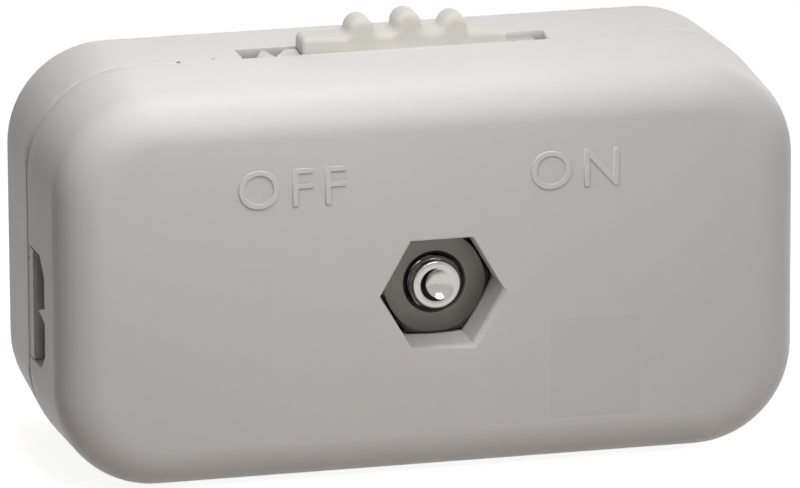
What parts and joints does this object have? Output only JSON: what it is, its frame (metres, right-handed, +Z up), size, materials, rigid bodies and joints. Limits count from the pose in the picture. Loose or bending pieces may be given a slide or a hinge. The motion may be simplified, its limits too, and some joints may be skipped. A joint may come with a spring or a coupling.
{
  "type": "inline cord switch",
  "caption": "Feed-through switch for a flat lamp cord: two moulded halves held by a screw and sunken nut, with a ribbed thumb slide in the top edge.",
  "frame": {"origin": "under the middle of the body, on the surface that it stands on, half way through its thickness", "axes": "+X along the body towards the right end, +Y from the front cover with the nut to the rear cover with the screw head, +Z up towards the slide"},
  "size_m": [0.0476, 0.0186, 0.0276],
  "materials": {
    "housing_plastic": "moulded off-white plastic with a satin gloss",
    "slide_plastic": "moulded plastic, a little warmer and glossier than the covers",
    "plated_steel": "zinc-plated steel, dulled",
    "terminal_brass": "stamped brass",
    "contact_bronze": "rolled phosphor bronze"
  },
  "bodies": {
    "housing": {"front_cover": "housing_plastic", "rear_cover": "housing_plastic", "left_terminal": "terminal_brass", "right_terminal": "terminal_brass", "hex_nut": "plated_steel", "clamp_screw": "plated_steel"},
    "slide": {"slide_button": "slide_plastic", "bridge_contact": "contact_bronze"}
  },
  "joints": [
    {"name": "slide_travel", "type": "slide", "parent": "housing", "child": "slide", "axis": [1, 0, 0], "range_m": [0, 0.0027]}
  ]
}
